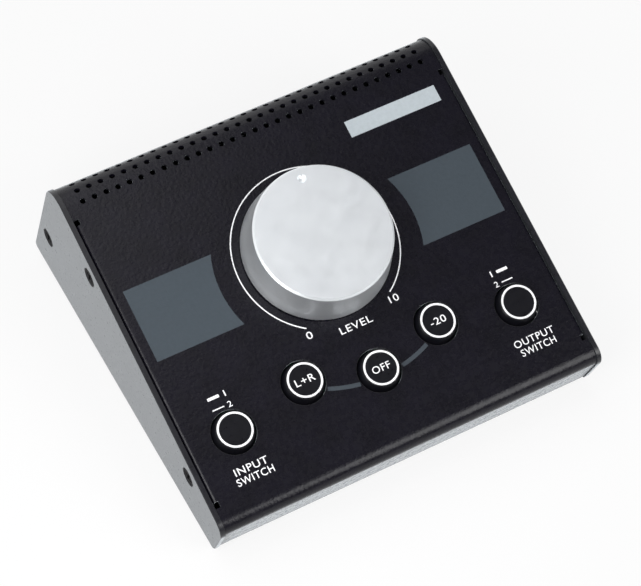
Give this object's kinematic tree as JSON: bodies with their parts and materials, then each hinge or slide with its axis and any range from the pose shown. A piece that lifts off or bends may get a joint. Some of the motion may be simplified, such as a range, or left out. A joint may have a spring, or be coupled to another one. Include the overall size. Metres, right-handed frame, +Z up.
{
  "type": "studio monitor controller",
  "caption": "Sloping desktop monitor controller with a folded vented steel case, large volume knob, round push buttons and quarter-inch jacks at the rear",
  "frame": {"origin": "centre of the part's footprint on the desk, at the underside of the rubber feet", "axes": "+X to the user's right, +Y from the user towards the jacks, +Z up"},
  "size_m": [0.15, 0.1468, 0.0691],
  "materials": {
    "cover_paint": "fine-textured near-black powder coat",
    "plate_paint": "fine-textured near-black powder coat",
    "black_screw": "blackened countersunk steel screw",
    "bright_steel": "plated steel",
    "nut_nickel": "nickel-plated hexagon nut",
    "knob_aluminium": "fine satin, bead-blasted, bright turned edge",
    "foot_rubber": "matt black rubber",
    "button_black": "satin black moulding",
    "jack_plastic": "black moulded nylon",
    "board_green": "green solder mask on glass epoxy",
    "ribbon_grey": "grey flat cable",
    "pot_metal": "pressed plated can",
    "resistor_body": "blue lacquered metal film",
    "moulded_plastic": "dark moulded plastic"
  },
  "bodies": {
    "case": {"base_plate": "cover_paint", "base_screws": "black_screw", "board_screws": "bright_steel", "board_standoffs": "bright_steel", "dim_resistors": "resistor_body", "dim_switch": "moulded_plastic", "input_1_left_jack": "jack_plastic", "input_1_right_jack": "jack_plastic", "input_2_left_jack": "jack_plastic", "input_2_right_jack": "jack_plastic", "jack_board": "board_green", "jack_header": "moulded_plastic", "jack_nuts": "nut_nickel", "left_side_plate": "plate_paint", "left_side_screws": "black_screw", "main_board": "board_green", "main_header": "moulded_plastic", "monitor_switch": "moulded_plastic", "mono_switch": "moulded_plastic", "mute_switch": "moulded_plastic", "output_1_left_jack": "jack_plastic", "output_1_right_jack": "jack_plastic", "output_2_left_jack": "jack_plastic", "output_2_right_jack": "jack_plastic", "pot_body": "pot_metal", "pot_nut": "bright_steel", "pot_washer": "bright_steel", "ribbon_cable": "ribbon_grey", "right_side_plate": "plate_paint", "right_side_screws": "black_screw", "rubber_feet": "foot_rubber", "source_switch": "moulded_plastic", "top_cover": "cover_paint"},
    "volume": {"volume_knob": "knob_aluminium", "knob_hub": "moulded_plastic", "pot_shaft": "bright_steel"},
    "source_key": {"source_button": "button_black", "source_plunger": "moulded_plastic"},
    "mono_key": {"mono_button": "button_black", "mono_plunger": "moulded_plastic"},
    "mute_key": {"mute_button": "button_black", "mute_plunger": "moulded_plastic"},
    "dim_key": {"dim_button": "button_black", "dim_plunger": "moulded_plastic"},
    "monitor_key": {"monitor_button": "button_black", "monitor_plunger": "moulded_plastic"}
  },
  "joints": [
    {"name": "volume_turn", "type": "hinge", "parent": "case", "child": "volume", "pos_m": [0, -0.00009, 0.04671], "axis": [0, -0.294, 0.9558], "range_deg": [-142.2, 151.8]},
    {"name": "source_press", "type": "slide", "parent": "case", "child": "source_key", "axis": [0, 0.294, -0.9558], "range_m": [0, 0.0022], "stiffness_N_per_m": 300, "springref_m": -0.002},
    {"name": "mono_press", "type": "slide", "parent": "case", "child": "mono_key", "axis": [0, 0.294, -0.9558], "range_m": [0, 0.0022], "stiffness_N_per_m": 300, "springref_m": -0.002},
    {"name": "mute_press", "type": "slide", "parent": "case", "child": "mute_key", "axis": [0, 0.294, -0.9558], "range_m": [0, 0.0022], "stiffness_N_per_m": 300, "springref_m": -0.002},
    {"name": "dim_press", "type": "slide", "parent": "case", "child": "dim_key", "axis": [0, 0.294, -0.9558], "range_m": [0, 0.0022], "stiffness_N_per_m": 300, "springref_m": -0.002},
    {"name": "monitor_press", "type": "slide", "parent": "case", "child": "monitor_key", "axis": [0, 0.294, -0.9558], "range_m": [0, 0.0022], "stiffness_N_per_m": 300, "springref_m": -0.002}
  ]
}
